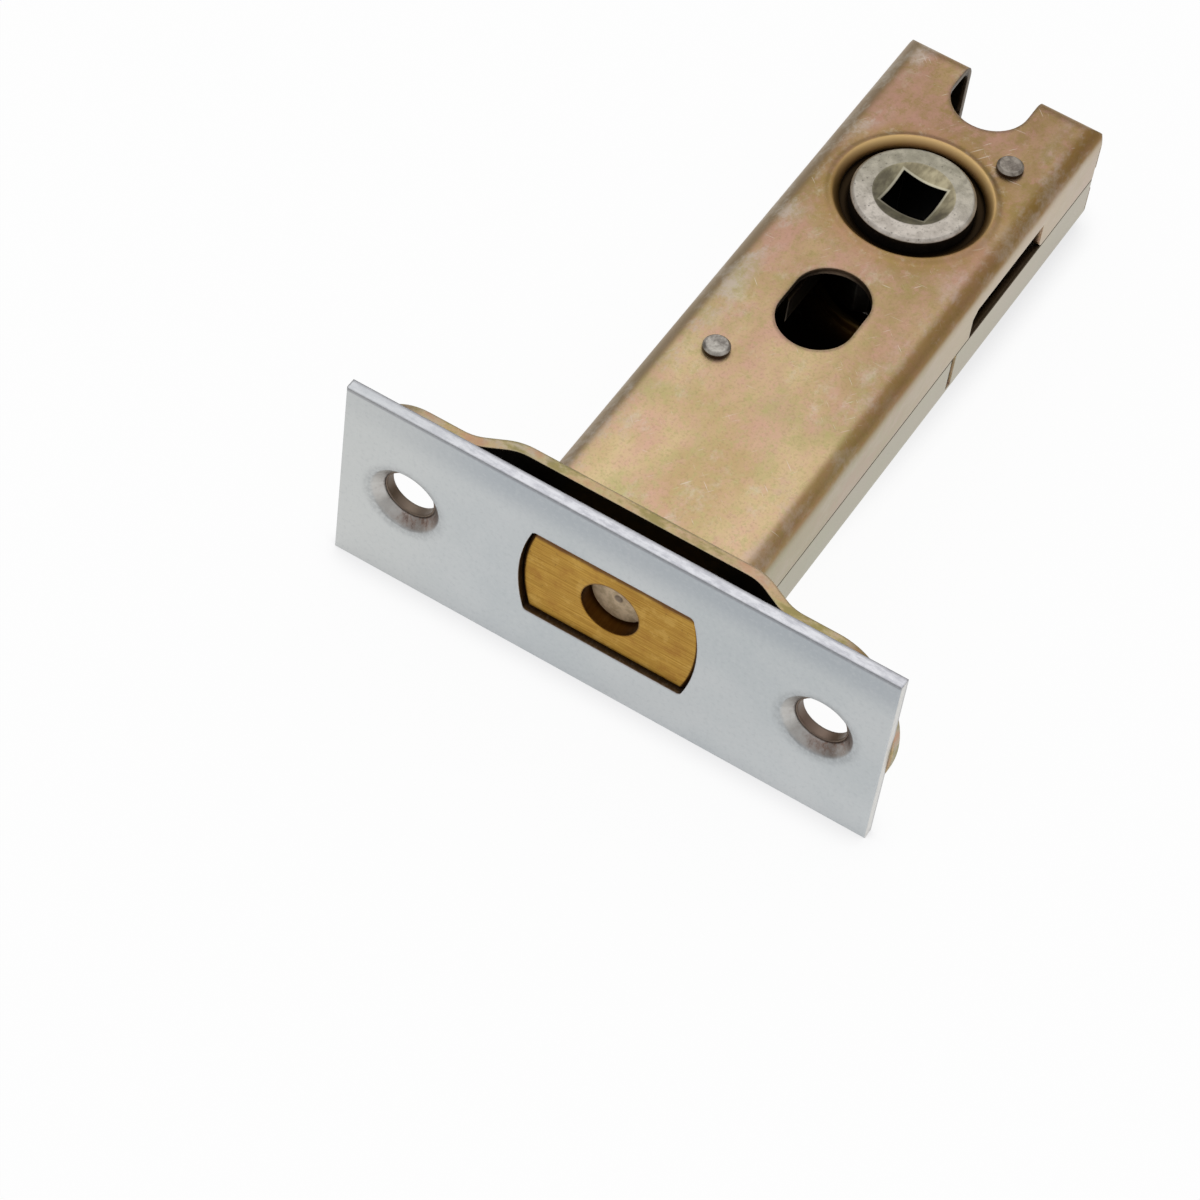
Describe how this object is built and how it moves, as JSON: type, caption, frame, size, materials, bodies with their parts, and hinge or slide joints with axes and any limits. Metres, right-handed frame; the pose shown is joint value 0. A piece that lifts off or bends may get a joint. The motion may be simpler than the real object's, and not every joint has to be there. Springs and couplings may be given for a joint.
{
  "type": "tubular deadbolt",
  "caption": "Tubular mortice deadbolt with a satin face plate, a yellow-passivated steel case, a brass bolt and a square-holed hub that throws it.",
  "frame": {"origin": "centre of the face plate's front face, on the bolt's axis", "axes": "+X out of the face, the way the bolt is thrown; +Y along the face plate; +Z along the spindle, up"},
  "size_m": [0.0816, 0.063, 0.025],
  "materials": {
    "satin_chrome": "satin chrome plate, fine grain along its length",
    "forend_zinc": "yellow-passivated zinc on pressed steel",
    "case_zinc": "iridescent yellow-passivated zinc, scuffed",
    "rivet_steel": "plain steel, dull",
    "bolt_brass": "brushed brass, unlacquered",
    "pin_steel": "turned steel face",
    "tail_zinc": "yellow-passivated zinc, dark",
    "hub_cast": "fine cast, pitted, matt",
    "spring_steel": "rolled spring strip"
  },
  "bodies": {
    "case": {"face_plate": "satin_chrome", "inner_forend": "forend_zinc", "case_upper_shell": "case_zinc", "case_lower_shell": "case_zinc", "front_rivet": "rivet_steel", "rear_rivet": "rivet_steel", "detent_spring": "spring_steel"},
    "bolt": {"bolt_head": "bolt_brass", "bolt_core_pin": "pin_steel", "bolt_tail": "tail_zinc", "tail_pins": "rivet_steel"},
    "hub": {"hub": "hub_cast"}
  },
  "joints": [
    {"name": "hub_turn", "type": "hinge", "parent": "case", "child": "hub", "pos_m": [-0.06, 0, 0], "axis": [0, 0, 1], "range_deg": [0, 90], "deforming": ["detent_spring"]},
    {"name": "bolt_slide", "type": "slide", "parent": "case", "child": "bolt", "axis": [1, 0, 0], "range_m": [0, 0.012]}
  ],
  "couplings": [
    {"joint": "hub_turn", "follows": "bolt_slide", "rad_per_m": 130.9}
  ]
}
